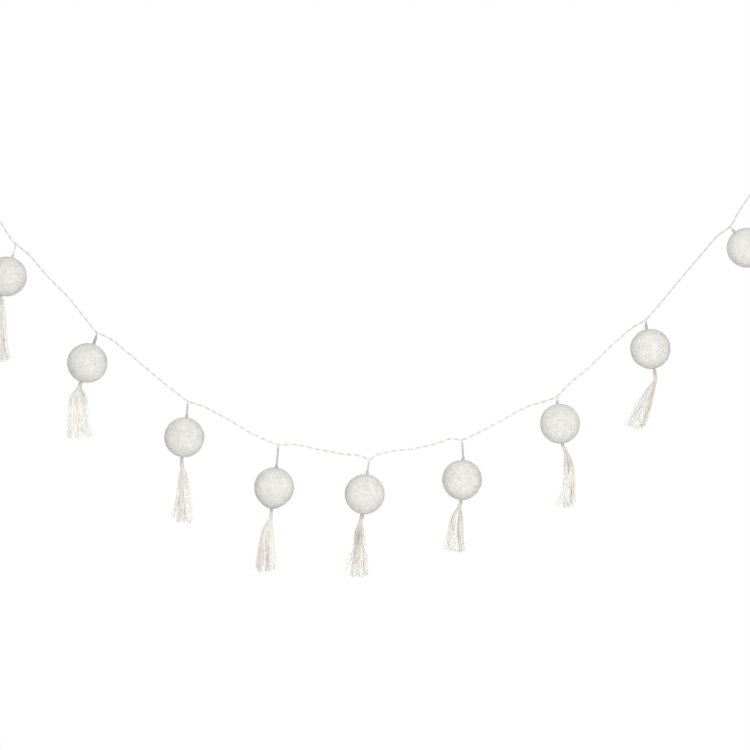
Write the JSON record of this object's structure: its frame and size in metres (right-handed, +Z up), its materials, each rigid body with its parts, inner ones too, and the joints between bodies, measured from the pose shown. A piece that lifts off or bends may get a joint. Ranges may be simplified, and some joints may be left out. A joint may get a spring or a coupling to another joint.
{
  "type": "string light garland with thread balls and tassels",
  "caption": "Hanging garland of round thread-wound ball lights on a clear twisted cord, each ball with a loose cream yarn tassel below it.",
  "frame": {"origin": "inner tip of the left end loop's eye, where a hook bears", "axes": "+X from the left loop toward the right loop, +Z up, and the front faces -Y"},
  "size_m": [1.2113, 0.0592, 0.6377],
  "materials": {
    "clear_wire": "clear, slightly milky",
    "white_thread": "matt wound cotton thread",
    "cream_yarn": "matt loose cotton yarn"
  },
  "bodies": {
    "root": {"cord": "clear_wire", "loop_left": "clear_wire", "loop_right": "clear_wire", "stem_1": "clear_wire", "stem_2": "clear_wire", "stem_3": "clear_wire", "stem_4": "clear_wire", "stem_5": "clear_wire", "stem_6": "clear_wire", "stem_7": "clear_wire", "stem_8": "clear_wire", "stem_9": "clear_wire", "ball_1": "white_thread", "ball_2": "white_thread", "ball_3": "white_thread", "ball_4": "white_thread", "ball_5": "white_thread", "ball_6": "white_thread", "ball_7": "white_thread", "ball_8": "white_thread", "ball_9": "white_thread", "tassel_1": "cream_yarn", "tassel_2": "cream_yarn", "tassel_3": "cream_yarn", "tassel_4": "cream_yarn", "tassel_5": "cream_yarn", "tassel_6": "cream_yarn", "tassel_7": "cream_yarn", "tassel_8": "cream_yarn", "tassel_9": "cream_yarn"}
  },
  "joints": []
}
